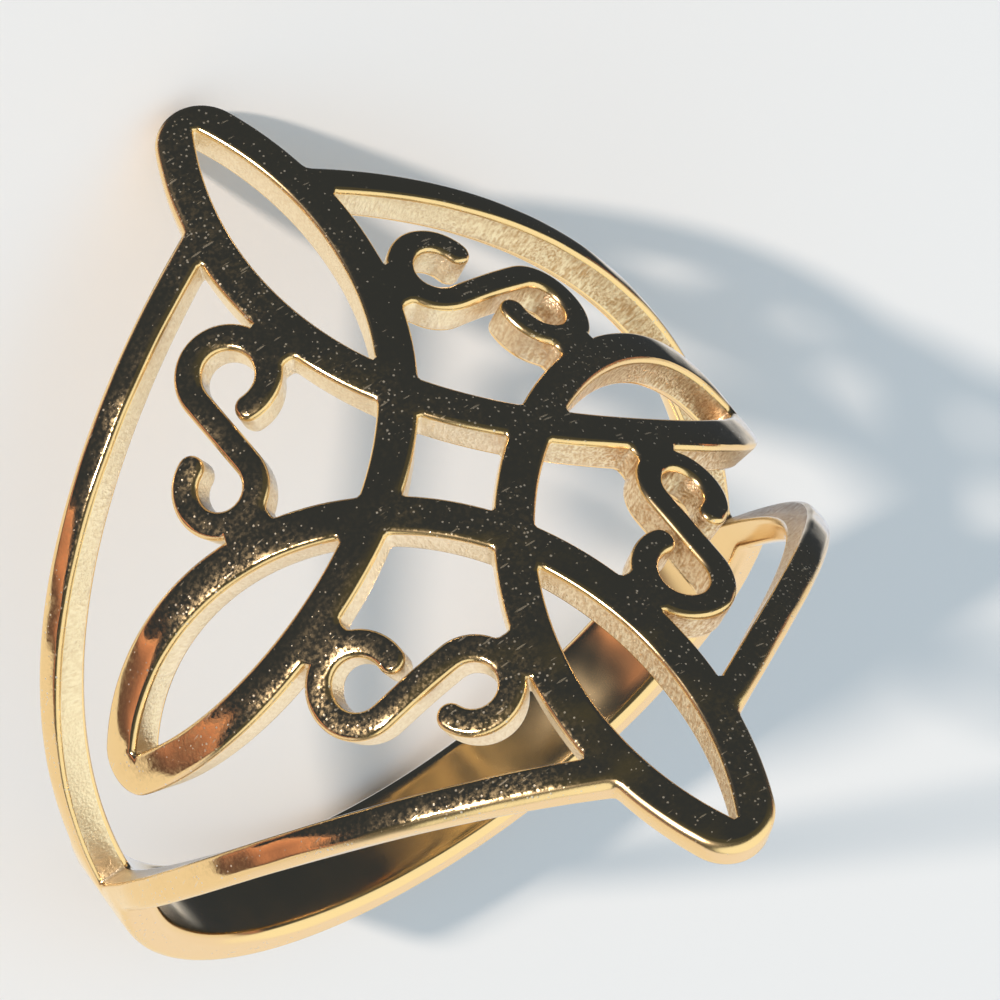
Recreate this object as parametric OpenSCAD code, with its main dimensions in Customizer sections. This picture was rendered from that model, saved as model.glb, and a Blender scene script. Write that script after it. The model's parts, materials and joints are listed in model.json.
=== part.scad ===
// Openwork ring: a looped four-point knot cut from a steel tube, on two split rails and a plain back band.
// Millimetres. Flat pattern places are [u, v]: u is the arc round the finger, measured on the outer
// face from the middle of the knot, and v is the height along the finger.
// The ring lies on its side, on the lower point of the knot and the lower edge of the back band.

/* [Ring] */
// Inside diameter, where the finger goes
bore_d = 18.1; // [16:0.1:21]
// Wall, from the inner face to the outer face
wall = 1; // [0.8:0.05:1.5]

/* [Knot] */
// Middle of the knot to the place where two strips meet at a point
loop_reach = 12.2; // [12.1:0.1:12.5]
// Middle of the knot to the place where two strips cross beside the centre square
cross_reach = 2.4; // [2.2:0.05:2.8]
// Width of each of the four looped strips
strip_w = 1; // [0.9:0.05:1.2]
// Middle of the knot to the end of each upright arm, along the finger
upright_reach = 11.95; // [11.85:0.05:12.3]
// Middle of the knot to the end of each level arm, round the finger
level_reach = 12.3; // [11.95:0.05:12.3]

/* [Rails and band] */
// Height at which the middle of a rail would meet the middle of the knot
rail_top = 9.44; // [9:0.05:10]
// Slope of the rails down to the band, in degrees
rail_slope = 27.1; // [25:0.1:30]
// Width of each rail
rail_w = 0.82; // [0.6:0.05:1.2]
// Width of the back band
band_w = 2.7; // [2.2:0.1:3.6]

/* [Scrolls] */
// Width of the scrolls' stroke
scroll_w = 0.7; // [0.5:0.05:0.8]
// Radius of the curl beside the upright arm
curl_a_r = 1; // [0.9:0.05:1.1]
// Radius of the curl beside the level arm
curl_b_r = 0.92; // [0.8:0.02:1]
// Width of the foot that joins a curl to its arm
foot_w = 1.2; // [0.8:0.1:1.4]

/* [Hidden] */
$fn = 128;

// Radii of the tube that the ring is cut from, and of the pattern solids that reach past both faces
inner_r = bore_d / 2;
outer_r = inner_r + wall;
cut_in_r = inner_r - 0.4;
cut_out_r = outer_r + 0.4;
tube_h = 2 * upright_reach + 4;

// Each looped strip is an arc about [arc_at, arc_at], turned by quarter turns
arc_at = (loop_reach + cross_reach) / 2;
arc_r = norm([arc_at, (loop_reach - cross_reach) / 2]);
arc_in = arc_r - strip_w / 2;
arc_out = arc_r + strip_w / 2;
arc_steps = 46;

// How far past the end of an arm a strip goes on, in degrees, to lap the strip that it meets
tip_lap = 0.7;

// Rails: height of the two edges on the knot's middle line, start inside the arm, end inside the band,
// and how far each half of the split reaches past the middle of the band
rail_fall = tan(rail_slope);
rail_hi = rail_top + rail_w / 2 / cos(rail_slope);
rail_lo = rail_top - rail_w / 2 / cos(rail_slope);
rail_start = 1.45;
split_u = rail_lo / rail_fall;
rail_end = split_u + 0.4;
rail_steps = 18;
rail_lap = 0.1;
band_start = split_u + 0.2;

// Scrolls: middles of the two curls in the upper left quarter, and the turn at which each curl ends
curl_a = [-3.1, 5.15];
curl_b = [-4.92, 2.98];
curl_a_end = -94;
curl_b_end = -252;
curl_steps = 16;
cap_turns = [30, 58, 80];

// Where the feet of curl a and curl b end, inside the strips of the upright and the level arm
foot_a_u = -1.35;
foot_b_v = 1.3;

// Lying tilt: the inner edge of the lower point and the outer edge of the band are level
rest_tilt = atan2(upright_reach - band_w / 2, inner_r + outer_r);
rest_h = outer_r * sin(rest_tilt) + band_w / 2 * cos(rest_tilt);
back_y = outer_r * cos(rest_tilt) + band_w / 2 * sin(rest_tilt);
front_y = -outer_r * cos(rest_tilt) - upright_reach * sin(rest_tilt);

// Angle round the finger, in degrees, of an arc length on the outer face
function round_deg(u) = u / outer_r * 180 / PI;

// Point of the flat pattern wrapped round the finger at radius r
function wrapped(p, r) = [r * sin(round_deg(p[0])), -r * cos(round_deg(p[0])), p[1]];

// Flat place turned clockwise by a number of quarter turns
function quarter(p, turns) = turns == 0 ? p : quarter([p[1], -p[0]], turns - 1);

// Flat place at a radius and a turn about a middle
function polar(middle, r, turn) = middle + r * [cos(turn), sin(turn)];

// Middle of the circle that rounds an arm's end: it touches both outer edges and ends at reach
function point_at(reach) =
    let (gap = arc_out - reach)
    (2 * arc_at * arc_at - gap * gap) / (2 * (gap + arc_at));

// Turn of a strip, from the place nearest the middle of the knot, at which it meets an arm's end
function tip_turn(reach) = 225 - atan2(reach - arc_at, -arc_at);

// Outer radius of a looped strip at a turn: the plain arc, then the circle that rounds the end
function strip_out(turn, reach) =
    let (along = polar([0, 0], 1, 225 - turn),
         middle = [-arc_at, point_at(reach) - arc_at],
         part = middle * along,
         round_r = reach - point_at(reach))
    turn <= 225 - atan2(middle[1], middle[0]) ? arc_out
    : part + sqrt(round_r * round_r - middle * middle + part * part);

// Cross lines of the looped strip about [arc_at, arc_at], between arms that end at the two reaches
function strip_lines(first_reach, last_reach) =
    let (first = -tip_turn(first_reach),
         last = tip_turn(last_reach),
         steps = concat([first - tip_lap],
                        [for (i = [0:arc_steps]) first + (last - first) * i / arc_steps],
                        [last + tip_lap]))
    [for (turn = steps)
        [polar([arc_at, arc_at], strip_out(abs(turn), turn < 0 ? first_reach : last_reach), 225 - turn),
         polar([arc_at, arc_at], arc_in, 225 - turn)]];

// Cross lines of the upper left rail, which becomes half the band where the rails meet
function rail_lines() =
    [for (i = [0:rail_steps])
        let (u = rail_start + (rail_end - rail_start) * i / rail_steps)
        [[-u, max(-rail_lap, rail_lo - rail_fall * u)],
         [-u, max(band_w / 2, rail_hi - rail_fall * u)]]];

// Cross line of a stroke at a place, heading in degrees, with its width
function stroke_line(place, heading, w) =
    [place + w / 2 * [-sin(heading), cos(heading)], place - w / 2 * [-sin(heading), cos(heading)]];

// Cross lines of a stroke's rounded end past a place, where heading points out of the stroke
function cap_lines(place, heading, w) =
    [for (turn = cap_turns)
        stroke_line(place + w / 2 * sin(turn) * [cos(heading), sin(heading)], heading, w * cos(turn))];

// Turn at which the straight middle of the scroll leaves curl a
function spine_turn() =
    let (reach = curl_b - curl_a)
    atan2(reach[1], reach[0]) + asin((curl_a_r + curl_b_r) / norm(reach)) - 90;

// Cross lines of the scroll: end, curl a, straight middle, curl b, end
function scroll_lines() =
    let (leave = spine_turn() + 360,
         a_turns = [for (i = [0:curl_steps]) curl_a_end + (leave - curl_a_end) * i / curl_steps],
         b_from = leave - 180,
         b_turns = [for (i = [0:curl_steps]) b_from + (curl_b_end - b_from) * i / curl_steps],
         start = cap_lines(polar(curl_a, curl_a_r, curl_a_end), curl_a_end - 90, scroll_w),
         finish = cap_lines(polar(curl_b, curl_b_r, curl_b_end), curl_b_end - 90, scroll_w))
    concat([for (i = [len(start) - 1:-1:0]) [start[i][1], start[i][0]]],
           [for (turn = a_turns) stroke_line(polar(curl_a, curl_a_r, turn), turn + 90, scroll_w)],
           [for (turn = b_turns) stroke_line(polar(curl_b, curl_b_r, turn), turn - 90, scroll_w)],
           finish);

// Solid with radial walls on a row of flat cross lines, turned by quarter turns
module wrapped_strip(lines, turns) {
    n = len(lines);
    points = [for (line = lines)
        for (corner = [[0, cut_in_r], [1, cut_in_r], [1, cut_out_r], [0, cut_out_r]])
            wrapped(quarter(line[corner[0]], turns), corner[1])];
    sides = [for (i = [0:n - 2]) for (k = [0:3])
        let (a = 4 * i + k, b = 4 * i + (k + 1) % 4)
        for (face = [[a, b, b + 4], [a, b + 4, a + 4]]) face];
    ends = [[2, 1, 0], [3, 2, 0], [4 * n - 4, 4 * n - 3, 4 * n - 2], [4 * n - 4, 4 * n - 2, 4 * n - 1]];
    polyhedron(points, concat(sides, ends), convexity = 4);
}

// Four strips that loop through each other and meet in four rounded points
module knot() {
    for (turns = [0:3])
        wrapped_strip(turns % 2 == 0 ? strip_lines(level_reach, upright_reach)
                                     : strip_lines(upright_reach, level_reach), turns);
}

// An S scroll in each quarter, joined to an arm at both curls by a foot
module scrolls() {
    foot_a = [for (u = [curl_a[0] + curl_a_r, foot_a_u])
        [[u, curl_a[1] + foot_w / 2], [u, curl_a[1] - foot_w / 2]]];
    foot_b = [for (v = [foot_b_v, curl_b[1] - curl_b_r])
        [[curl_b[0] - foot_w / 2, v], [curl_b[0] + foot_w / 2, v]]];
    for (turns = [0:3]) {
        wrapped_strip(scroll_lines(), turns);
        wrapped_strip(foot_a, turns);
        wrapped_strip(foot_b, turns);
    }
}

// Two rails on each side that run from the upright arms to the band
module rails() {
    right = [for (line = rail_lines()) [[-line[1][0], line[1][1]], [-line[0][0], line[0][1]]]];
    for (turns = [0, 2]) {
        wrapped_strip(rail_lines(), turns);
        wrapped_strip(right, turns);
    }
}

// Block behind the split that leaves the plain band
module band_block() {
    side = 3 * outer_r;
    spread = round_deg(band_start);
    edge = side * [sin(spread), -cos(spread)];
    linear_extrude(band_w, center = true)
        polygon([[0, 0], edge, [side, side], [-side, side], [-edge[0], edge[1]]]);
}

// The tube that everything is cut from
module tube() {
    difference() {
        cylinder(h = tube_h, r = outer_r, center = true);
        cylinder(h = tube_h + 2, r = inner_r, center = true);
    }
}

// The whole ring, one piece of gold-coloured steel, as it lies
module ring() {
    color("goldenrod")
        translate([0, -(back_y + front_y) / 2, rest_h])
            rotate([-rest_tilt, 0, 0])
                intersection() {
                    tube();
                    union() {
                        knot();
                        scrolls();
                        rails();
                        band_block();
                    }
                }
}

ring();
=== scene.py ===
"""Looks of a gold-tone openwork knot ring that lies on its side."""

import json
import math
from functools import partial

import bpy
import numpy as np
from bpy.props import FloatProperty, FloatVectorProperty, IntProperty, PointerProperty
from mathutils import Matrix, Vector
from mathutils.geometry import delaunay_2d_cdt
from mathutils.kdtree import KDTree


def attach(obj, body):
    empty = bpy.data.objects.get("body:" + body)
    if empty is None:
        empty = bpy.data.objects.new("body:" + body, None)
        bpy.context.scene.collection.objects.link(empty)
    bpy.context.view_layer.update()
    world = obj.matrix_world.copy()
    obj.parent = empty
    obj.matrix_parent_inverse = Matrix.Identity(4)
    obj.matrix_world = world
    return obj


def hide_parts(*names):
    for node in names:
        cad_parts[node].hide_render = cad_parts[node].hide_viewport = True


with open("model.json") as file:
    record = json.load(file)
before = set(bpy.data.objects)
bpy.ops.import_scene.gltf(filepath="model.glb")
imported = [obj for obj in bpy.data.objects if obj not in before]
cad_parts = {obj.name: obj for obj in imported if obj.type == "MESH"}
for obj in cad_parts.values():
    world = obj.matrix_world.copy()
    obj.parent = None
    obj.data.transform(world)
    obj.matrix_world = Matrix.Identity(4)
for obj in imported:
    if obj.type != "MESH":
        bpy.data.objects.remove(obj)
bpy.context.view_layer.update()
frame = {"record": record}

bl_info = {
    "name": "Knot ring",
    "version": (1, 0, 0),
    "blender": (4, 5, 0),
    "location": "3D View > Sidebar > Knot ring",
    "description": "Builds an openwork knot ring of polished and satin-cut metal",
    "category": "Object",
}

MM = 0.001
FINGER_BORE = next(m for m in frame["record"]["mounts"] if m["name"] == "finger_bore")


def linear(hex_colour):
    """Linear red, green and blue of an sRGB hex colour such as "d8a860"."""
    parts = [int(hex_colour[i:i + 2], 16) / 255 for i in (0, 2, 4)]
    return tuple(c / 12.92 if c <= 0.04045 else ((c + 0.055) / 1.055) ** 2.4 for c in parts)


def length(name, description, millimetres):
    """A size property whose default is given in millimetres."""
    return FloatProperty(name=name, description=description, default=millimetres * MM,
                         min=0, unit="LENGTH", precision=5)


def colour(name, description, hex_colour):
    """A colour property whose default is an sRGB hex colour."""
    return FloatVectorProperty(name=name, description=description, default=linear(hex_colour),
                               min=0, max=1, subtype="COLOR")


def share(name, description, value):
    """A property from 0 to 1."""
    return FloatProperty(name=name, description=description, default=value, min=0, max=1, subtype="FACTOR")


def angle(name, description, degrees):
    """An angle property whose default is given in degrees."""
    return FloatProperty(name=name, description=description, default=math.radians(degrees),
                         unit="ROTATION")


class KnotRingSizes(bpy.types.PropertyGroup):
    """Sizes of the ring and its flat pattern"""

    bore_radius: length("Bore radius", "Inside radius of the ring", FINGER_BORE["dims"]["r_mm"])
    upright_reach: length("Upright reach", "Knot's middle to the end of an upright arm",
                          FINGER_BORE["dims"]["length_mm"] / 2)
    wall: length("Wall", "Inner face to outer face", 1.0)
    loop_reach: length("Loop reach", "Knot's middle to where two strips meet", 12.2)
    cross_reach: length("Cross reach", "Knot's middle to where two strips cross", 2.4)
    strip_width: length("Strip width", "Width of each looped strip", 1.0)
    level_reach: length("Level reach", "Knot's middle to the end of a level arm", 12.3)
    rail_top: length("Rail top", "Height at which a rail would meet the knot's middle line", 9.44)
    rail_slope: angle("Rail slope", "Slope of the rails down to the band", 27.1)
    rail_width: length("Rail width", "Width of each rail", 0.82)
    band_width: length("Band width", "Width of the back band", 2.7)
    scroll_width: length("Scroll width", "Width of the scrolls' stroke", 0.7)
    curl_a_radius: length("Curl A radius", "Radius of the curl beside the upright arm", 1.0)
    curl_b_radius: length("Curl B radius", "Radius of the curl beside the level arm", 0.92)
    foot_width: length("Foot width", "Width of the foot that joins a curl to its arm", 1.2)
    corner_fillet: length("Corner fillet", "Width of the fillets where strips meet", 0.08)
    hole_edge: length("Hole edge", "Rounding of the edges of the pierced holes", 0.12)
    rim_edge: length("Rim edge", "Rounding of the edges of the ring's outline", 0.24)
    dome_drop: length("Dome drop", "How far polishing has worn the faces down at their edges", 0.06)
    dome_reach: length("Dome reach", "How far in from an edge the worn face reaches", 0.5)
    point_spacing: length("Point spacing", "Spacing of the mesh along straight outlines", 0.13)
    wall_rows: IntProperty(name="Wall rows", description="Rows of faces through the cut wall",
                           default=3, min=1, max=8)


class KnotRingFinish(bpy.types.PropertyGroup):
    """Colours and polish of the metal"""

    plate: colour("Gold plate", "Colour of the polished gold-tone plating", "efd4a6")
    satin: colour("Satin wall", "Colour of the plated cut walls", "fbf0da")
    # The deep colour is also painted shade on the walls of one side of the knot, besides the soil in the
    # grain
    satin_shade_and_soil: colour("Satin wall, deep", "Colour of the soil in the grain of the cut walls", "b98f5e")
    dust: colour("Dust", "Colour of the dust and polishing paste in the pits", "d2cfc8")
    polish: share("Polish", "Roughness of the polished faces", 0.06)
    haze: share("Haze", "Roughness where the polish is hazy", 0.27)
    edge: share("Edge", "Roughness of the rounded edges", 0.24)
    worn: share("Worn", "Roughness of the pits and hairlines", 0.38)
    cut: share("Cut", "Roughness of the cut walls", 0.4)


class KnotRingStudio(bpy.types.PropertyGroup):
    """Floor, light and camera"""

    floor: colour("Floor", "Colour of the plain floor", "efebe8")
    key: FloatProperty(name="Key light", description="Strength of the key light", default=3.8, min=0)
    azimuth: angle("Camera azimuth", "Turn of the camera round the ring", 31.2525)
    elevation: angle("Camera elevation", "Height of the camera above the floor", 48.1917)
    roll: angle("Camera roll", "Turn of the picture about the line of sight", -125.9411)
    distance: length("Camera distance", "Camera to the point it aims at", 130.5)
    lens: FloatProperty(name="Lens", description="Focal length in millimetres",
                        default=185.94, min=1, unit="CAMERA")


def soft_union(a, b, blend):
    """Joins two distance fields, with a fillet where they meet."""
    overlap = np.maximum(blend - np.abs(a - b), 0) / blend
    return np.minimum(a, b) - overlap * overlap * blend / 4


def arch_shape(across, along, radius, offset):
    """Distance to the pointed arch that two discs share, with middles offset to each side."""
    across = np.abs(across)
    tip = math.sqrt(radius * radius - offset * offset)
    to_tip = np.hypot(across, along - tip)
    to_arc = np.hypot(across + offset, along) - radius
    return np.where((along - tip) * offset > across * tip, to_tip, to_arc)


def box_shape(u, v, low, high):
    """Distance to an upright rectangle between two corners."""
    x = np.abs(u - (low[0] + high[0]) / 2) - (high[0] - low[0]) / 2
    y = np.abs(v - (low[1] + high[1]) / 2) - (high[1] - low[1]) / 2
    return np.hypot(np.maximum(x, 0), np.maximum(y, 0)) + np.minimum(np.maximum(x, y), 0)


def on_circle(middle, radius, turn):
    """Place on a circle at a turn in degrees."""
    a = math.radians(turn)
    return middle[0] + radius * math.cos(a), middle[1] + radius * math.sin(a)


def arc_line(u, v, middle, radius, start, sweep):
    """Distance to an arc that starts at a turn and sweeps counter-clockwise, in degrees."""
    x, y = u - middle[0], v - middle[1]
    turned = np.mod(np.degrees(np.arctan2(y, x)) - start, 360)
    ends = [on_circle(middle, radius, turn) for turn in (start, start + sweep)]
    to_end = np.minimum(*[np.hypot(u - e[0], v - e[1]) for e in ends])
    return np.where(turned <= sweep, np.abs(np.hypot(x, y) - radius), to_end)


def straight_line(u, v, start, end):
    """Distance to the straight line between two places."""
    x, y = end[0] - start[0], end[1] - start[1]
    part = np.clip(((u - start[0]) * x + (v - start[1]) * y) / (x * x + y * y), 0, 1)
    return np.hypot(u - start[0] - part * x, v - start[1] - part * y)


class FlatPattern:
    """The ring unrolled: u runs round the finger on the outer face, v along it, in millimetres."""

    # Middles of the two curls in the upper left quarter, and the turns in degrees at which they end
    CURL_A = (-3.1, 5.15)
    CURL_B = (-4.92, 2.98)
    CURL_A_END = -94
    CURL_B_END = -252
    # Where the feet and the rails end inside the strips that carry them
    FOOT_A_END = -1.35
    FOOT_B_END = 1.3
    RAIL_START = 1.2
    # Free height of the searched grid beyond the knot
    MARGIN = 0.3

    def __init__(self, sizes):
        self.half_round = math.pi * (sizes.bore_radius + sizes.wall) / MM
        self.half_height = max(sizes.upright_reach, sizes.loop_reach) / MM + self.MARGIN
        self.fillet = sizes.corner_fillet / MM
        self.strip = sizes.strip_width / MM / 2
        loop, cross = sizes.loop_reach / MM, sizes.cross_reach / MM
        self.arc_at = (loop + cross) / 2
        self.arc_r = math.hypot(self.arc_at, (loop - cross) / 2)
        self.middle = cross + self.strip
        self.upright = sizes.upright_reach / MM
        self.level = sizes.level_reach / MM
        self.fall = math.tan(sizes.rail_slope)
        self.lean = math.cos(sizes.rail_slope)
        rail, half_rail = sizes.rail_top / MM, sizes.rail_width / MM / 2 / self.lean
        self.rail_hi, self.rail_lo = rail + half_rail, rail - half_rail
        self.band = sizes.band_width / MM / 2
        self.stroke = sizes.scroll_width / MM / 2
        self.curl_a_r = sizes.curl_a_radius / MM
        self.curl_b_r = sizes.curl_b_radius / MM
        self.foot = sizes.foot_width / MM / 2

    def arm(self, across, along, reach):
        """Outline of one looped arm, whose outer point is rounded to end at reach."""
        edge = self.arc_r + self.strip
        gap = edge - reach
        point = (2 * self.arc_at**2 - gap * gap) / (2 * (gap + self.arc_at))
        rounding = reach - point
        return arch_shape(across, along - self.arc_at, edge - rounding, self.arc_at) - rounding

    def knot(self, u, v):
        """Four looped strips, cut off at the outlines of the four arms."""
        a, b = np.abs(u), np.abs(v)
        circles = [np.abs(np.hypot(a - x * self.arc_at, b - y * self.arc_at) - self.arc_r) - self.strip
                   for x, y in ((1, 1), (-1, 1), (1, -1))]
        strips = soft_union(soft_union(*circles[:2], self.fillet), circles[2], self.fillet)
        arms = np.minimum(self.arm(a, b, self.upright), self.arm(b, a, self.level))
        return np.maximum(strips, np.minimum(arms, np.maximum(a, b) - self.middle))

    def rails(self, u, v):
        """Two rails on each side that become the back band."""
        a, b = np.abs(u), np.abs(v)
        outer = soft_union(b - self.band, (b - self.rail_hi + self.fall * a) * self.lean, self.fillet)
        # The split between the rails is a wedge with a rounded tip
        low = self.rail_lo - self.fillet / self.lean
        past = a - low / self.fall
        split = np.where(past > b * self.fall, -np.hypot(past, b), (low - self.fall * a - b) * self.lean)
        return np.maximum(np.maximum(outer, split + self.fillet), self.RAIL_START - a)

    def scroll(self, u, v):
        """The S scroll of the upper left quarter, with its two feet."""
        a, b = self.CURL_A, self.CURL_B
        apart = (b[0] - a[0], b[1] - a[1])
        lean = math.asin((self.curl_a_r + self.curl_b_r) / math.hypot(*apart))
        leave = math.degrees(math.atan2(apart[1], apart[0]) + lean) + 270
        curl_a = arc_line(u, v, a, self.curl_a_r, self.CURL_A_END, leave - self.CURL_A_END)
        curl_b = arc_line(u, v, b, self.curl_b_r, self.CURL_B_END, leave - 180 - self.CURL_B_END)
        spine = straight_line(u, v, on_circle(a, self.curl_a_r, leave),
                              on_circle(b, self.curl_b_r, leave - 180))
        stroke = np.minimum(np.minimum(curl_a, curl_b), spine) - self.stroke
        foot_a = box_shape(u, v, (a[0] + self.curl_a_r, a[1] - self.foot),
                           (self.FOOT_A_END, a[1] + self.foot))
        foot_b = box_shape(u, v, (b[0] - self.foot, self.FOOT_B_END),
                           (b[0] + self.foot, b[1] - self.curl_b_r))
        return soft_union(stroke, np.minimum(foot_a, foot_b), self.fillet)

    def __call__(self, u, v):
        """How far flat places lie outside the metal, and below zero inside it."""
        field = soft_union(self.knot(u, v), self.rails(u, v), self.fillet)
        # The same scroll in each of the four quarters
        for _ in range(4):
            field = soft_union(field, self.scroll(u, v), self.fillet)
            u, v = -v, u
        return field

    def slope(self, places, step=0.004):
        """Direction of steepest rise of the field at places, and its values there."""
        u, v = places[:, 0], places[:, 1]
        rise = np.stack([self(u + step, v) - self(u - step, v), self(u, v + step) - self(u, v - step)], 1)
        return rise / (2 * step), self(u, v)

    def settle(self, places, rounds=4, least_square=0.05):
        """Moves places onto the outline along the field's slope."""
        for _ in range(rounds):
            rise, value = self.slope(places)
            size = np.maximum((rise * rise).sum(1), least_square)
            places = places - rise * (value / size)[:, None]
        return places


def cell_links(inside, middle_inside):
    """Pairs of grid edges that an outline crosses one after the other, cell by cell."""
    rows, columns = inside.shape
    across = inside[1:, :] != inside[:-1, :]
    up = inside[:, 1:] != inside[:, :-1]
    links = []
    count = rows * columns
    crossed = across[:, :-1] | across[:, 1:] | up[:-1, :] | up[1:, :]
    for i, j in zip(*np.nonzero(crossed)):
        bottom, top = i * columns + j, i * columns + j + 1
        left, right = count + i * columns + j, count + (i + 1) * columns + j
        flags = (across[i, j], across[i, j + 1], up[i, j], up[i + 1, j])
        hit = [edge for edge, flag in zip((bottom, top, left, right), flags) if flag]
        if len(hit) == 2:
            links.append(hit)
        elif middle_inside[i, j] == inside[i, j]:
            links += [[bottom, right], [left, top]]
        else:
            links += [[bottom, left], [top, right]]
    return links


def chains(links):
    """Joins linked pairs into runs, each with whether it closes on itself."""
    near = {}
    for a, b in links:
        near.setdefault(a, []).append(b)
        near.setdefault(b, []).append(a)
    ends = [k for k, v in near.items() if len(v) == 1]
    found, seen = [], set()
    for start in ends + list(near):
        if start in seen:
            continue
        run = [start]
        seen.add(start)
        while True:
            onward = [k for k in near[run[-1]] if k not in seen]
            if not onward:
                break
            run.append(onward[0])
            seen.add(onward[0])
        found.append((run, len(near[start]) == 2))
    return found


def outlines(pattern, step=0.06):
    """The outlines of the flat metal as runs of places, each with whether it is closed."""
    # The even count of rows keeps every row off the band's middle line
    us = np.linspace(-pattern.half_round, pattern.half_round,
                     2 * round(pattern.half_round / step) + 1)
    vs = np.linspace(-pattern.half_height, pattern.half_height,
                     2 * round(pattern.half_height / step) + 2)
    grid = pattern(*np.meshgrid(us, vs, indexing="ij"))
    middle = (grid[1:, 1:] + grid[:-1, 1:] + grid[1:, :-1] + grid[:-1, :-1]) < 0
    columns = len(vs)
    runs = []
    for run, closed in chains(cell_links(grid < 0, middle)):
        edges = np.array(run)
        upward = edges >= grid.size
        i, j = np.divmod(edges - upward * grid.size, columns)
        i2, j2 = i + ~upward, j + upward
        part = grid[i, j] / (grid[i, j] - grid[i2, j2])
        places = np.stack([us[i] + part * (us[i2] - us[i]), vs[j] + part * (vs[j2] - vs[j])], 1)
        runs.append((places, closed))
    return runs


def along(places, closed):
    """Running length along places, with the closing stretch when closed."""
    ring = np.vstack([places, places[:1]]) if closed else places
    steps = np.hypot(*np.diff(ring, axis=0).T)
    return ring, np.concatenate([[0], np.cumsum(steps)])


def respaced(places, closed, marks):
    """Places at the given running lengths."""
    ring, run = along(places, closed)
    return np.stack([np.interp(marks, run, ring[:, k]) for k in (0, 1)], 1)


def smoothed(values, reach, closed):
    """Running mean of values over reach neighbours on each side."""
    padded = np.pad(values, reach, mode="wrap" if closed else "edge")
    kernel = np.ones(2 * reach + 1) / (2 * reach + 1)
    return np.convolve(padded, kernel, mode="valid")


def spaced_outline(pattern, places, closed, coarse):
    """Places on the exact outline, close together where it bends sharply."""
    fine, fewest = coarse / 4, 16
    # Turn from one place to the next in radians, and the least bend, which divides it
    turn_each, least_bend = 0.3, 1e-6
    # Neighbours on each side over which the bend and the spacing are evened out
    bend_reach, spacing_reach = 2, 4
    total = along(places, closed)[1][-1]
    count = max(fewest, round(total / fine))
    marks = np.linspace(0, total, count + 1)[:count if closed else count + 1]
    dense = pattern.settle(respaced(places, closed, marks))
    rise, _ = pattern.slope(dense)
    heading = np.unwrap(np.arctan2(rise[:, 1], rise[:, 0]))
    bend = np.abs(np.gradient(heading)) / fine
    if closed:
        bend[[0, -1]] = bend[[1, -2]]
    bend = np.maximum(smoothed(bend, bend_reach, closed), least_bend)
    spacing = smoothed(np.clip(turn_each / bend, fine, coarse), spacing_reach, closed)
    run = along(dense, closed)[1]
    if closed:
        spacing = np.append(spacing, spacing[0])
    weight = np.concatenate([[0], np.cumsum(np.diff(run) * 2 / (spacing[1:] + spacing[:-1]))])
    number = round(weight[-1])
    picks = np.linspace(0, weight[-1], number + 1)[:number if closed else number + 1]
    chosen = respaced(dense, closed, np.interp(picks, weight, run))
    return pattern.settle(chosen)


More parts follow.
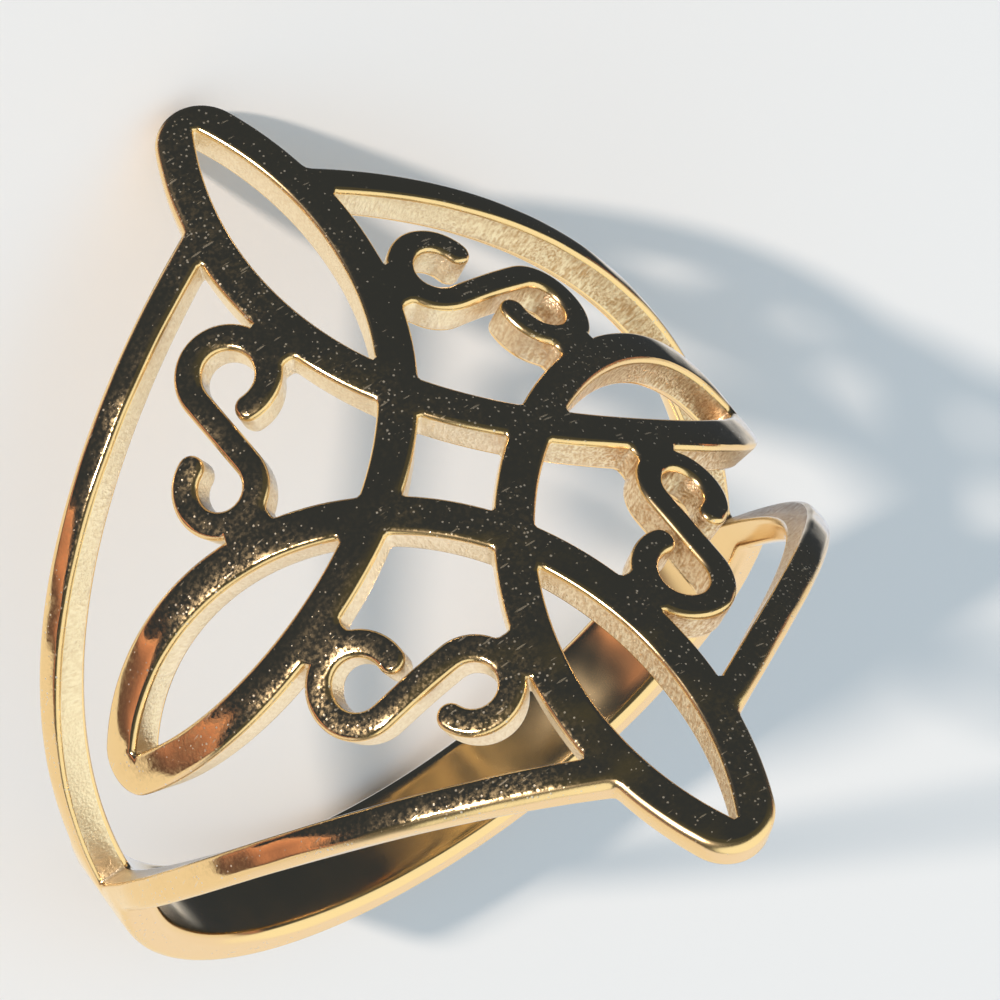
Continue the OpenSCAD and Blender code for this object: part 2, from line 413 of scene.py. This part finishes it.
class PlateMaker:
    """Gathers the flat plate: places, how far each lies inside the outline, edge radius, faces."""

    # Width of a border, and the gap from it to the first free places, in spacings
    BORDER_WIDTH = 1.8
    SHORE_GAP = 0.55
    # Step of the staggered free places in spacings, and the height of their rows in steps
    LATTICE_STEP = 1.2
    ROW_HEIGHT = 0.87
    # Places nearer than this, in millimetres, count as one
    SAME_PLACE = 1e-9

    def __init__(self, pattern, spacing):
        self.pattern = pattern
        self.spacing = spacing
        self.places, self.inset, self.radius, self.faces = [], [], [], []
        self.count = 0
        self.borders, self.shores = [], []

    def add(self, places, radius, inset=None):
        """Adds places and returns their numbers. Without an inset it comes from the pattern."""
        numbers = np.arange(self.count, self.count + len(places))
        self.places.append(places)
        self.inset.append(-self.pattern(*places.T) if inset is None else np.full(len(places), inset))
        self.radius.append(np.full(len(places), radius))
        self.count += len(places)
        return numbers

    def add_border(self, places, closed, radius, segments):
        """Adds the rows of faces that follow one outline inwards, for its rounded edge."""
        rise, _ = self.pattern.slope(places)
        inward = -rise / np.hypot(*rise.T)[:, None]
        if not closed:
            # At the seam the rows go straight across the band
            inward[[0, -1], 0] = 0
            inward[[0, -1], 1] = np.sign(inward[[0, -1], 1])
        run = places[1:] - places[:-1]
        turn = run[:, 0] * inward[:-1, 1] - run[:, 1] * inward[:-1, 0]
        if turn.sum() < 0:
            places, inward = places[::-1], inward[::-1]
        insets = [radius * (1 - math.cos(math.pi / 2 * k / segments)) for k in range(segments + 1)]
        insets += [radius + self.spacing / 4,
                   max(radius + self.spacing / 2, self.spacing * self.BORDER_WIDTH)]
        rows = [self.add(places + inward * inset, radius, inset) for inset in insets]
        for a, b in zip(rows, rows[1:]):
            a2, b2 = np.roll(a, -1), np.roll(b, -1)
            quads = np.stack([a, a2, b2, b], 1)
            self.faces += (quads if closed else quads[:-1]).tolist()
        self.borders.append((rows[-1], closed))
        self.shores.append((places, insets[-1] + self.spacing * self.SHORE_GAP))

    def seam(self, first, last):
        """Places across the back of the band, from one border's end to the other's."""
        a, b = self.flat[first], self.flat[last]
        steps = round(np.hypot(*(b - a)) / self.spacing)
        parts = np.arange(1, steps)[:, None] / steps
        middle = self.add(a + (b - a) * parts, 0.0)
        return [first, *middle.tolist(), last]

    @property
    def flat(self):
        """All places so far."""
        return np.vstack(self.places)

    def lattice(self, margin):
        """Staggered places that fill the metal inside the borders."""
        step = self.spacing * self.LATTICE_STEP
        rows = np.arange(-self.pattern.half_height, self.pattern.half_height, step * self.ROW_HEIGHT)
        line = np.arange(-self.pattern.half_round + step, self.pattern.half_round - step / 2, step)
        u = np.concatenate([line + (k % 2) * step / 2 for k in range(len(rows))])
        v = np.repeat(rows, len(line))
        inside = (self.pattern(u, v) < -margin) & (np.abs(u) < self.pattern.half_round - step / 2)
        filled = np.stack([u, v], 1)[inside]
        for limit in {limit for _, limit in self.shores}:
            shore = np.vstack([places for places, reach in self.shores if reach == limit])
            near = KDTree(len(shore))
            for number, place in enumerate(shore):
                near.insert((*place, 0), number)
            near.balance()
            apart = np.array([near.find((*place, 0))[2] for place in filled])
            filled = filled[apart > limit]
        return filled

    def fill(self, rim_margin):
        """Triangles between the borders."""
        edges, open_runs = [], []
        for row, closed in self.borders:
            numbers = row.tolist()
            edges += list(zip(numbers, numbers[1:]))
            if closed:
                edges.append((numbers[-1], numbers[0]))
            else:
                open_runs.append(numbers)
        a, b = open_runs
        for pair in ((a[-1], b[0]), (b[-1], a[0])):
            crossing = self.seam(*pair)
            edges += list(zip(crossing, crossing[1:]))
        first_free = self.count
        self.add(self.lattice(rim_margin), 0.0)
        used = sorted({n for edge in edges for n in edge} | set(range(first_free, self.count)))
        number = {n: k for k, n in enumerate(used)}
        flat = self.flat
        constraint = [(number[x], number[y]) for x, y in edges]
        made = delaunay_2d_cdt([Vector(flat[n]) for n in used], constraint, [], 0, self.SAME_PLACE)
        back = [used[origin[0]] for origin in made[3]]
        if len(back) != len(used):
            raise RuntimeError("two borders of the flat plate cross")
        walls = {frozenset(e) for e in edges}
        triangles = [tuple(back[k] for k in face) for face in made[2]]
        self.faces += self.inner_triangles(triangles, walls, first_free)

    def inner_triangles(self, triangles, walls, first_free):
        """The triangles that free places reach without passing a border."""
        sides = {}
        for index, t in enumerate(triangles):
            for k in range(3):
                sides.setdefault(frozenset((t[k], t[k - 1])), []).append(index)
        todo = [i for i, t in enumerate(triangles) if max(t) >= first_free]
        kept = set(todo)
        while todo:
            t = triangles[todo.pop()]
            for k in range(3):
                side = frozenset((t[k], t[k - 1]))
                if side in walls:
                    continue
                for other in sides[side]:
                    if other not in kept:
                        kept.add(other)
                        todo.append(other)
        flat = self.flat
        for index in sorted(kept):
            a, b, c = (flat[n] for n in triangles[index])
            turn = (b[0] - a[0]) * (c[1] - a[1]) - (b[1] - a[1]) * (c[0] - a[0])
            yield triangles[index] if turn > 0 else triangles[index][::-1]

    def mesh(self, name):
        """The flat plate as a mesh, in metres, with its inset and edge radius as attributes."""
        flat = self.flat * MM
        mesh = bpy.data.meshes.new(name)
        mesh.from_pydata(np.column_stack([flat, np.zeros(len(flat))]).tolist(), [], self.faces)
        for label, values in (("inset", self.inset), ("edge_radius", self.radius)):
            layer = mesh.attributes.new(label, "FLOAT", "POINT")
            layer.data.foreach_set("value", np.concatenate(values) * MM)
        return mesh


def flat_plate(sizes):
    """The unrolled ring as a flat plate with rows of faces along its outlines."""
    pattern = FlatPattern(sizes)
    coarse = sizes.point_spacing / MM
    maker = PlateMaker(pattern, coarse)
    # Rounding and rows of faces: closed outlines are holes, and open ones are the rim
    hole, rim = (sizes.hole_edge / MM, 3), (sizes.rim_edge / MM, 5)
    for places, closed in outlines(pattern):
        spaced = spaced_outline(pattern, places, closed, coarse)
        maker.add_border(spaced, closed, *(hole if closed else rim))
    maker.fill(coarse)
    return maker.mesh("flat_plate")


def set_inputs(node, values):
    """Sets or links a node's inputs, by number or name."""
    for key, value in dict(values).items():
        socket = node.inputs[key]
        if isinstance(value, bpy.types.NodeSocket):
            node.id_data.links.new(value, socket)
        else:
            socket.default_value = value


def add_node(tree, kind, inputs=(), **settings):
    """Adds a node, sets its properties, and sets or links its inputs."""
    node = tree.nodes.new(kind)
    for key, value in settings.items():
        setattr(node, key, value)
    set_inputs(node, inputs)
    return node


def maths(operation, *values):
    """A math node, in the tree of the sockets among its values."""
    tree = next(v.id_data for v in values if isinstance(v, bpy.types.NodeSocket))
    return add_node(tree, "ShaderNodeMath", enumerate(values), operation=operation).outputs[0]


times, plus, minus, larger = (partial(maths, name) for name in ("MULTIPLY", "ADD", "SUBTRACT", "MAXIMUM"))


def between(value, low, high, to_low=0.0, to_high=1.0):
    """A step from to_low to to_high while the value goes from low to high."""
    return add_node(value.id_data, "ShaderNodeMapRange",
                    {0: value, 1: low, 2: high, 3: to_low, 4: to_high}).outputs[0]


def wrap_tree(rows):
    """Node tree that gives the flat plate its wall and rounded edges and wraps it round the finger."""
    # Part of the wear that the middle of the knot has, and how far from there the wear is full
    least_worn, full_wear = 0.25, 7 * MM
    # How steeply the worn face falls off towards its edge
    fall_power = 2.5
    # Turn in radians that counts as the seam, and distances in metres that count as the same
    seam_turn, same_radius, same_place = 1e-4, 0.01 * MM, 1e-6
    tree = bpy.data.node_groups.new("Wrap plate round finger", "GeometryNodeTree")
    sockets = {
        "Geometry": ("Plate",),
        "Float": ("Bore radius", "Wall", "Hole edge", "Dome drop", "Dome reach", "Lying tilt"),
        "Vector": ("Centre",),
        "Material": ("Polished plate", "Cut wall", "Polished bore"),
    }
    for kind, names in sockets.items():
        for name in names:
            tree.interface.new_socket(name, in_out="INPUT", socket_type="NodeSocket" + kind)
    tree.interface.new_socket("Ring", in_out="OUTPUT", socket_type="NodeSocketGeometry")
    given = add_node(tree, "NodeGroupInput").outputs

    def vector_of(x, y, z):
        return add_node(tree, "ShaderNodeCombineXYZ", {"X": x, "Y": y, "Z": z}).outputs[0]

    def vectors(operation, *values, **more):
        return add_node(tree, "ShaderNodeVectorMath", {**dict(enumerate(values)), **more},
                        operation=operation).outputs

    def logic(operation, a, b):
        return add_node(tree, "FunctionNodeBooleanMath", {0: a, 1: b}, operation=operation).outputs[0]

    def named(name, kind="FLOAT"):
        node = add_node(tree, "GeometryNodeInputNamedAttribute", {"Name": name}, data_type=kind)
        return node.outputs["Attribute"]

    def changed(geometry, kind, inputs=(), **settings):
        node = add_node(tree, "GeometryNode" + kind, inputs, **settings)
        tree.links.new(geometry, node.inputs[0])
        return node.outputs[0]

    def store(geometry, name, value, kind, domain):
        return changed(geometry, "StoreNamedAttribute", {"Name": name, "Value": value},
                       data_type=kind, domain=domain)

    place = add_node(tree, "GeometryNodeInputPosition").outputs[0]
    kept = store(given["Plate"], "flat", place, "FLOAT_VECTOR", "POINT")
    flat = add_node(tree, "ShaderNodeSeparateXYZ", {0: named("flat", "FLOAT_VECTOR")}).outputs
    outer_radius = plus(given["Bore radius"], given["Wall"])
    turn = maths("DIVIDE", flat["X"], outer_radius)
    outward = vector_of(maths("SINE", turn), times(maths("COSINE", turn), -1.0), 0.0)
    upward = vector_of(0.0, 0.0, flat["Y"])

    radius, inset = named("edge_radius"), named("inset")
    short = larger(minus(radius, inset), 0.0)
    squares = minus(times(radius, radius), times(short, short))
    rounding = minus(radius, maths("SQRT", larger(squares, 0.0)))
    shore = larger(minus(1.0, maths("DIVIDE", inset, given["Dome reach"])), 0.0)
    worn = between(maths("ABSOLUTE", flat["X"]), 0.0, full_wear, least_worn)
    edge_drop = times(given["Dome drop"], worn)
    drop = plus(rounding, times(edge_drop, maths("POWER", shore, fall_power)))
    reach = vectors("LENGTH", vectors("MULTIPLY", place, (1, 1, 0))[0])["Value"]

    def sheet(geometry, distance):
        spot = vectors("ADD", vectors("SCALE", outward, Scale=distance)[0], upward)[0]
        return changed(geometry, "SetPosition", {"Position": spot})

    outer = sheet(kept, minus(outer_radius, drop))
    inner = changed(sheet(kept, plus(given["Bore radius"], drop)), "FlipFaces")
    inner = store(inner, "bore", True, "BOOLEAN", "FACE")

    # The wall grows from the outer sheet's open edges, but not from the seam behind the band
    neighbours = add_node(tree, "GeometryNodeInputMeshEdgeNeighbors").outputs[0]
    single = add_node(tree, "FunctionNodeCompare", {2: neighbours, 3: 1},
                      data_type="INT", operation="EQUAL").outputs[0]
    half_round = times(outer_radius, math.pi - seam_turn)
    front = logic("AND", single, maths("LESS_THAN", maths("ABSOLUTE", flat["X"]), half_round))
    depth = minus(given["Wall"], times(plus(radius, edge_drop), 2.0))
    inward = vectors("SCALE", outward, Scale=maths("DIVIDE", depth, -float(rows)))[0]
    cut = None
    for _ in range(rows):
        grown = add_node(tree, "GeometryNodeExtrudeMesh",
                         {"Mesh": outer, "Selection": front, "Offset": inward, "Offset Scale": 1.0},
                         mode="EDGES").outputs
        outer, front = grown["Mesh"], grown["Top"]
        cut = grown["Side"] if cut is None else logic("OR", cut, grown["Side"])
    # An extruded row leans where the spacing changes, so the rows are set straight out again
    outer = sheet(outer, reach)
    of_hole = maths("LESS_THAN", minus(radius, given["Hole edge"]), same_radius)
    outer = store(outer, "cut_wall", logic("AND", cut, of_hole), "BOOLEAN", "FACE")

    joined = add_node(tree, "GeometryNodeJoinGeometry")
    for part in (inner, outer):
        tree.links.new(part, joined.inputs[0])
    unrolled = vector_of(flat["X"], flat["Y"], reach)
    ring = store(joined.outputs[0], "flat", unrolled, "FLOAT_VECTOR", "CORNER")
    ring = changed(ring, "MergeByDistance", {"Distance": same_place})
    ring = changed(ring, "SetShadeSmooth", {"Shade Smooth": True})
    tilt = vector_of(times(given["Lying tilt"], -1.0), 0.0, 0.0)
    turned = add_node(tree, "FunctionNodeEulerToRotation", {0: tilt}).outputs[0]
    ring = changed(ring, "Transform", {"Translation": given["Centre"], "Rotation": turned})
    ring = changed(ring, "RealizeInstances")
    ring = changed(ring, "SetMaterial", {"Material": given["Polished plate"]})
    for name, flag in (("Cut wall", "cut_wall"), ("Polished bore", "bore")):
        ring = changed(ring, "SetMaterial",
                       {"Selection": named(flag, "BOOLEAN"), "Material": given[name]})
    add_node(tree, "NodeGroupOutput", {0: ring})
    return tree


def new_material(name, **sockets):
    """A material with one Principled shader whose named sockets are set."""
    material = bpy.data.materials.new(name)
    material.use_nodes = True
    tree = material.node_tree
    tree.nodes.clear()
    shader = add_node(tree, "ShaderNodeBsdfPrincipled", sockets)
    add_node(tree, "ShaderNodeOutputMaterial", {"Surface": shader.outputs[0]})
    return material, tree, shader


def attribute(tree, name, output):
    """A mesh attribute, such as flat: the unrolled place, with the radius as height."""
    return add_node(tree, "ShaderNodeAttribute", attribute_name=name).outputs[output]


def place_on(tree):
    """The place in space."""
    return add_node(tree, "ShaderNodeTexCoord").outputs["Object"]


def noise(where, per_mm, detail):
    """Noise with so many grains to the millimetre."""
    return add_node(where.id_data, "ShaderNodeTexNoise",
                    {"Vector": where, "Scale": per_mm / MM, "Detail": detail}).outputs[0]


def mixed(factor, low, high):
    """A colour between two, each a socket or linear red, green and blue."""
    low, high = (c if isinstance(c, bpy.types.NodeSocket) else (*c, 1) for c in (low, high))
    return add_node(factor.id_data, "ShaderNodeMix", {0: factor, 6: low, 7: high},
                    data_type="RGBA").outputs[2]


def relief_of(height, mm, strength=1.0, **under):
    """Normals of a relief, which may lie on other normals."""
    return add_node(height.id_data, "ShaderNodeBump",
                    {"Height": height, "Strength": strength, "Distance": mm * MM, **under}).outputs[0]


def plated_gold(finish):
    """Gold-tone plating on polished steel: a mirror, with a slow waviness, dusty pits and hairlines."""
    material, tree, shader = new_material("polished_gold_plate", Metallic=1.0)
    flat, place = attribute(tree, "flat", "Vector"), place_on(tree)
    # Wear is crowded in patches some millimetres wide
    crowd = between(noise(place, per_mm=0.35, detail=3.0), low=0.4, high=0.62)
    # Spacing of the pits in mm, what crowding adds to their odds, and the biggest radius in spacings
    pit_layers = ((0.1, 0.25, 0.36), (0.22, 0.15, 0.2))
    pit_odds, pit_shoulder, least_depth = (0.76, 1.06), 0.14, 0.4
    wear = None
    for spacing, crowding, biggest in pit_layers:
        pits = add_node(tree, "ShaderNodeTexVoronoi", {"Vector": flat, "Scale": 1 / (spacing * MM)}).outputs
        chance, _, depth = add_node(tree, "ShaderNodeSeparateColor", {0: pits["Color"]}).outputs
        chance = plus(chance, times(crowd, crowding))
        size = between(chance, *pit_odds, 0.0, biggest)
        spot = between(minus(size, pits["Distance"]), 0.0, pit_shoulder)
        spot = times(spot, between(depth, 0.0, 1.0, least_depth, 1.0))
        wear = spot if wear is None else larger(wear, spot)
    # Scratches up to 0.3 mm long and 0.05 mm wide that run round the finger, in two layers
    scratch_cells, scratch_odds, scratch_crowding = (2 / MM, 12 / MM, 12 / MM), (0.93, 1.05), 0.1
    longest, scratch_shoulder, scratch_depth = 0.34, 0.1, 0.4
    for turn in (28, -47):
        along_turn = add_node(tree, "ShaderNodeMapping", {
            "Vector": flat, "Rotation": (0, 0, math.radians(turn)), "Scale": scratch_cells}).outputs[0]
        lines = add_node(tree, "ShaderNodeTexVoronoi", {"Vector": along_turn, "Scale": 1.0}).outputs
        chance = add_node(tree, "ShaderNodeSeparateColor", {0: lines["Color"]}).outputs[1]
        chance = plus(chance, times(crowd, scratch_crowding))
        size = between(chance, *scratch_odds, 0.0, longest)
        spot = minus(size, lines["Distance"])
        wear = larger(wear, between(spot, 0.0, scratch_shoulder, 0.0, scratch_depth))
    # A haze of grains about 0.09 mm wide, which shows only beside a bright reflection
    mist = between(noise(flat, per_mm=11, detail=3.0), low=0.32, high=0.64)
    crowded_share, mist_relief = 0.6, 0.45
    mist = times(mist, plus(times(crowd, crowded_share), 1 - crowded_share))
    haze = between(mist, 0.0, 1.0, finish.polish, finish.haze)
    # Rounded edges are polished less finely than the faces
    past_edge = minus(attribute(tree, "inset", "Fac"), attribute(tree, "edge_radius", "Fac"))
    edge = between(past_edge, low=-0.066 * MM, high=-0.018 * MM, to_low=finish.edge, to_high=finish.polish)
    haze = larger(haze, edge)
    slow = relief_of(noise(place, per_mm=0.45, detail=1.0), mm=0.16)
    grain = plus(wear, times(mist, mist_relief))
    set_inputs(shader, {
        "Base Color": mixed(wear, finish.plate, finish.dust),
        # Dust in the pits scatters the light, so the pits show pale grey on the dark mirror
        "Metallic": between(wear, 0.0, 1.0, to_low=1.0, to_high=0.72),
        "Roughness": add_node(tree, "ShaderNodeMix", {0: wear, 2: haze, 3: finish.worn}).outputs[0],
        "Normal": relief_of(grain, mm=-0.005, strength=0.4, Normal=slow),
    })
    return material


def satin_gold(finish):
    """The same plating on walls that a cutter left matt, with ticks across the wall and fine grain."""
    material, tree, shader = new_material("satin_cut_wall", Metallic=1.0)
    flat, place = attribute(tree, "flat", "Vector"), place_on(tree)
    # Ticks about 0.09 mm wide that run 0.23 mm through the wall, and grain about 0.07 mm across
    drawn = add_node(tree, "ShaderNodeMapping", {"Vector": flat, "Scale": (1, 1, 0.4)}).outputs[0]
    ticks = noise(drawn, per_mm=11, detail=2.0)
    grain = noise(place, per_mm=14, detail=2.0)
    mottle = noise(place, per_mm=0.7, detail=2.0)
    blend = between(mottle, low=0.4, high=0.6, to_low=0.25, to_high=0.75)
    relief = add_node(tree, "ShaderNodeMix", {0: blend, 2: ticks, 3: grain}).outputs[0]
    # Painted shade and soil: the walls of one side of the knot are painted darker as shade, and soil
    # darkens the grain more than its crests
    shaded_and_soiled_side, full_shade_and_soil_at, least_shade_and_soil, most_shade_and_soil = (-1, 0.5, 0), 4.5 * MM, 0.22, 0.8
    beside = add_node(tree, "ShaderNodeVectorMath", {0: flat, 1: shaded_and_soiled_side}, operation="DOT_PRODUCT")
    shade_and_soil = between(beside.outputs["Value"], 0.0, full_shade_and_soil_at, least_shade_and_soil, most_shade_and_soil)
    shade_and_soil = times(shade_and_soil, between(relief, low=0.38, high=0.6, to_low=1.0, to_high=0.2))
    set_inputs(shader, {
        # The wall colour darkens towards the deep colour where the painted shade and the soil lie
        "Base Color": mixed(shade_and_soil, finish.satin, finish.satin_shade_and_soil),
        "Roughness": between(relief, low=0.3, high=0.7, to_low=finish.cut * 1.2, to_high=finish.cut * 0.8),
        "Normal": relief_of(relief, mm=0.045),
    })
    return material


def bore_gold(finish):
    """The same plating inside the ring, which wear by the finger has made a little dull."""
    material, tree, shader = new_material("polished_bore", Metallic=1.0)
    place = place_on(tree)
    # Dull patches about 1 mm wide, and a slow waviness
    dull = noise(place, per_mm=0.9, detail=1.0)
    wave = noise(place, per_mm=0.4, detail=0.0)
    set_inputs(shader, {
        "Base Color": (*finish.plate, 1),
        "Roughness": between(dull, low=0.3, high=0.7,
                             to_low=finish.polish * 2.2, to_high=finish.polish * 3.4),
        "Normal": relief_of(wave, mm=0.12),
    })
    return material


def new_object(context, name, data):
    """A new object in the scene."""
    made = bpy.data.objects.new(name, data)
    context.scene.collection.objects.link(made)
    return made


class OBJECT_OT_knot_ring_metal(bpy.types.Operator):
    """Build the ring: a flat pierced plate, wrapped round the finger with rounded edges"""

    bl_idname = "object.knot_ring_metal"
    bl_label = "Knot ring metal"

    def execute(self, context):
        sizes = context.scene.knot_ring_sizes
        finish = context.scene.knot_ring_finish
        plate = new_object(context, "flat_plate", flat_plate(sizes))
        surfaces = {
            "Polished plate": plated_gold(finish),
            "Cut wall": satin_gold(finish),
            "Polished bore": bore_gold(finish),
        }
        plate.data.materials.append(surfaces["Polished plate"])
        tree = wrap_tree(sizes.wall_rows)
        axis = Vector(FINGER_BORE["axis"])
        values = {
            "Bore radius": sizes.bore_radius,
            "Wall": sizes.wall,
            "Hole edge": sizes.hole_edge,
            "Dome drop": sizes.dome_drop,
            "Dome reach": sizes.dome_reach,
            "Lying tilt": math.atan2(axis.y, axis.z),
            "Centre": FINGER_BORE["pos_m"],
            **surfaces,
        }
        modifier = plate.modifiers.new("Wrap", "NODES")
        modifier.node_group = tree
        for item in tree.interface.items_tree:
            if item.item_type == "SOCKET" and item.in_out == "INPUT" and item.name in values:
                modifier[item.identifier] = values[item.name]
        plate.update_tag()
        mesh = bpy.data.meshes.new_from_object(plate.evaluated_get(context.evaluated_depsgraph_get()))
        bpy.data.objects.remove(plate)
        mesh.name = "ring_metal"
        if len(mesh.materials) != len(surfaces):
            raise RuntimeError("the ring's mesh lost its materials")
        ring = new_object(context, "ring_metal", mesh)
        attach(ring, "root")
        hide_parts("ring")
        return {"FINISHED"}


class OBJECT_OT_knot_ring_studio(bpy.types.Operator):
    """Set up the plain floor, the soft light and the camera"""

    bl_idname = "object.knot_ring_studio"
    bl_label = "Knot ring studio"

    # Colours of the room that the metal mirrors, and of the light that reaches the floor
    DARK = linear("353d4a")
    CEILING = linear("4d4f49")
    FLOOR_LIGHT = linear("c0d2e0")
    WARM_SHEET = (1.02, 0.95, 0.89)
    COOL_SHEET = (0.75, 0.83, 0.98)
    SOFTBOX = (1.15, 1.13, 0.9)
    # Where each light starts and is full: how far a direction points to the knot's side of the
    # ring, to the right, along the finger or up
    SHEET_EDGE, SHEET_BACK, SHEET_SPAN = (-0.01, 0.02), -0.62, (-0.6, 0.4)
    TONGUE_AT, TONGUE_SLOPE, TONGUE_TURN = -0.37, 1.3, (-0.35, 0.1)
    WARM_UP, WARM_BACK = (0.17, 0.32), (-0.2, -0.35)
    COOL_LEFT, COOL_BACK, COOL_DOWN = (-0.05, -0.25), (-0.5, -0.7), (0.0, -0.2)
    SOFTBOX_EDGE, SOFTBOX_HANG = (0.64, 0.7), -0.35
    CEILING_EDGE = (0.15, 0.3)
    # The large sheet's tones from its back to its front
    SHEET_TONES = ((0.25, "fff4dd"), (0.28, "6b5850"), (0.5, "765c56"), (0.64, "c08a74"),
                   (0.78, "e29f80"), (0.87, "ffbe98"), (0.89, "353d4a"))
    # The key light: where it comes from, its width in degrees and its colour
    KEY_FROM = (0.7, -0.621, 0.35)
    KEY_WIDTH = 3.5
    KEY_COLOUR = (1, 0.88, 0.76)
    # What the camera aims at, in millimetres, and half the floor's side in metres
    AIM = (-3.405, -0.337, 5.413)
    FLOOR_HALF = 1.5

    def execute(self, context):
        studio = context.scene.knot_ring_studio
        self.add_floor(context, studio)
        self.add_world(context)
        self.add_key(context, studio)
        self.add_camera(context, studio)
        context.scene.view_settings.view_transform = "Standard"
        return {"FINISHED"}

    def add_floor(self, context, studio):
        """A plain pale sheet. Glossy rays miss it, so the polished faces reflect the dark studio."""
        material, *_ = new_material("pale_floor", **{"Base Color": (*studio.floor, 1), "Roughness": 0.9})
        half = self.FLOOR_HALF
        mesh = bpy.data.meshes.new("floor")
        mesh.from_pydata([(-half, -half, 0), (half, -half, 0), (half, half, 0), (-half, half, 0)], [],
                         [(0, 1, 2, 3)])
        mesh.materials.append(material)
        floor = new_object(context, "floor", mesh)
        floor.visible_glossy = False

    def add_world(self, context):
        """Pale cool light above, and the dark room with bright sheets that the metal reflects."""
        world = bpy.data.worlds.new("studio")
        context.scene.world = world
        world.use_nodes = True
        tree = world.node_tree
        tree.nodes.clear()
        way = add_node(tree, "ShaderNodeTexCoord").outputs["Generated"]

        def part(direction):
            return add_node(tree, "ShaderNodeVectorMath", {0: way, 1: direction},
                            operation="DOT_PRODUCT").outputs["Value"]

        axis = Vector(FINGER_BORE["axis"])
        front = Vector((0, -axis.z, axis.y))
        forward, level, along_axis = part(front), part((1, 0, 0)), part(axis)
        # Bright where a sheet stands behind the ring, to the right of it or above its plane
        side = larger(larger(level, along_axis), minus(self.SHEET_BACK, forward))
        sheet = between(side, *self.SHEET_EDGE)
        # The sheet's rounded ends show as tongues where a face is worn down at its edges
        beside = maths("ABSOLUTE", minus(along_axis, self.TONGUE_AT))
        rounded = times(times(beside, self.TONGUE_SLOPE), between(forward, *self.TONGUE_TURN, -1.0, 1.0))
        spot = between(plus(forward, rounded), *self.SHEET_SPAN)
        ramp = add_node(tree, "ShaderNodeValToRGB", {0: spot})
        elements = ramp.color_ramp.elements
        while len(elements) < len(self.SHEET_TONES):
            elements.new(0.5)
        for element, (position, tone) in zip(elements, self.SHEET_TONES):
            element.position = position
            element.color = (*linear(tone), 1)
        low = mixed(sheet, self.DARK, ramp.outputs[0])
        behind = times(between(along_axis, *self.WARM_UP), between(forward, *self.WARM_BACK))
        low = mixed(behind, low, self.WARM_SHEET)
        # Cool light from behind shows in the ends of one level arm and of the rails beside it
        far = times(between(level, *self.COOL_LEFT), between(forward, *self.COOL_BACK))
        far = times(far, between(along_axis, *self.COOL_DOWN))
        low = mixed(far, low, self.COOL_SHEET)
        # The softbox above hangs lower on the left, where the long rail's wall reflects it
        hung = times(maths("MINIMUM", level, 0.0), self.SOFTBOX_HANG)
        softbox = between(plus(along_axis, hung), *self.SOFTBOX_EDGE)
        high = mixed(softbox, self.CEILING, self.SOFTBOX)
        room = mixed(between(part((0, 0, 1)), *self.CEILING_EDGE), low, high)
        for_floor = add_node(tree, "ShaderNodeLightPath").outputs["Is Diffuse Ray"]
        whole = mixed(for_floor, room, self.FLOOR_LIGHT)
        background = add_node(tree, "ShaderNodeBackground", {"Color": whole, "Strength": 1.0})
        add_node(tree, "ShaderNodeOutputWorld", {"Surface": background.outputs[0]})

    def add_key(self, context, studio):
        """A warm key light whose shadows fall to the right of the picture."""
        light = bpy.data.lights.new("key", "SUN")
        light.energy = studio.key
        light.angle = math.radians(self.KEY_WIDTH)
        light.color = self.KEY_COLOUR
        key = new_object(context, "key", light)
        key.rotation_mode = "QUATERNION"
        key.rotation_quaternion = Vector(self.KEY_FROM).to_track_quat("Z", "Y")

    def add_camera(self, context, studio):
        """The camera at the picture's angle to the ring, above the floor."""
        aim = Vector(self.AIM) * MM
        turn, rise = studio.azimuth, studio.elevation
        back = Vector((math.sin(turn) * math.cos(rise), -math.cos(turn) * math.cos(rise), math.sin(rise)))
        level = (-back).cross(Vector((0, 0, 1))).normalized()
        upright = level.cross(-back)
        up = upright * math.cos(studio.roll) + level * math.sin(studio.roll)
        right = level * math.cos(studio.roll) - upright * math.sin(studio.roll)
        data = bpy.data.cameras.new("camera")
        data.lens = studio.lens
        data.clip_start = MM
        camera = new_object(context, "camera", data)
        turned = Matrix((right, up, back)).transposed().to_4x4()
        camera.matrix_world = Matrix.Translation(aim + back * studio.distance) @ turned
        context.scene.camera = camera


class VIEW3D_PT_knot_ring(bpy.types.Panel):
    """Sizes, finish and studio of the knot ring"""

    bl_label = "Knot ring"
    bl_space_type = "VIEW_3D"
    bl_region_type = "UI"
    bl_category = "Knot ring"

    def draw(self, context):
        layout = self.layout
        for operator in OPERATORS:
            layout.operator(operator.bl_idname)
        for name, kind in GROUPS.items():
            box = layout.box()
            box.label(text=kind.__doc__)
            group = getattr(context.scene, name)
            for key in kind.__annotations__:
                box.prop(group, key)


OPERATORS = (OBJECT_OT_knot_ring_metal, OBJECT_OT_knot_ring_studio)
GROUPS = {
    "knot_ring_sizes": KnotRingSizes,
    "knot_ring_finish": KnotRingFinish,
    "knot_ring_studio": KnotRingStudio,
}


def register():
    for kind in (*GROUPS.values(), *OPERATORS, VIEW3D_PT_knot_ring):
        bpy.utils.register_class(kind)
    for name, kind in GROUPS.items():
        setattr(bpy.types.Scene, name, PointerProperty(type=kind))


def unregister():
    for name in GROUPS:
        delattr(bpy.types.Scene, name)
    for kind in (VIEW3D_PT_knot_ring, *reversed(OPERATORS), *reversed(GROUPS.values())):
        bpy.utils.unregister_class(kind)


def main():
    register()
    bpy.ops.object.knot_ring_metal()
    bpy.ops.object.knot_ring_studio()


if __name__ == "__main__":
    main()
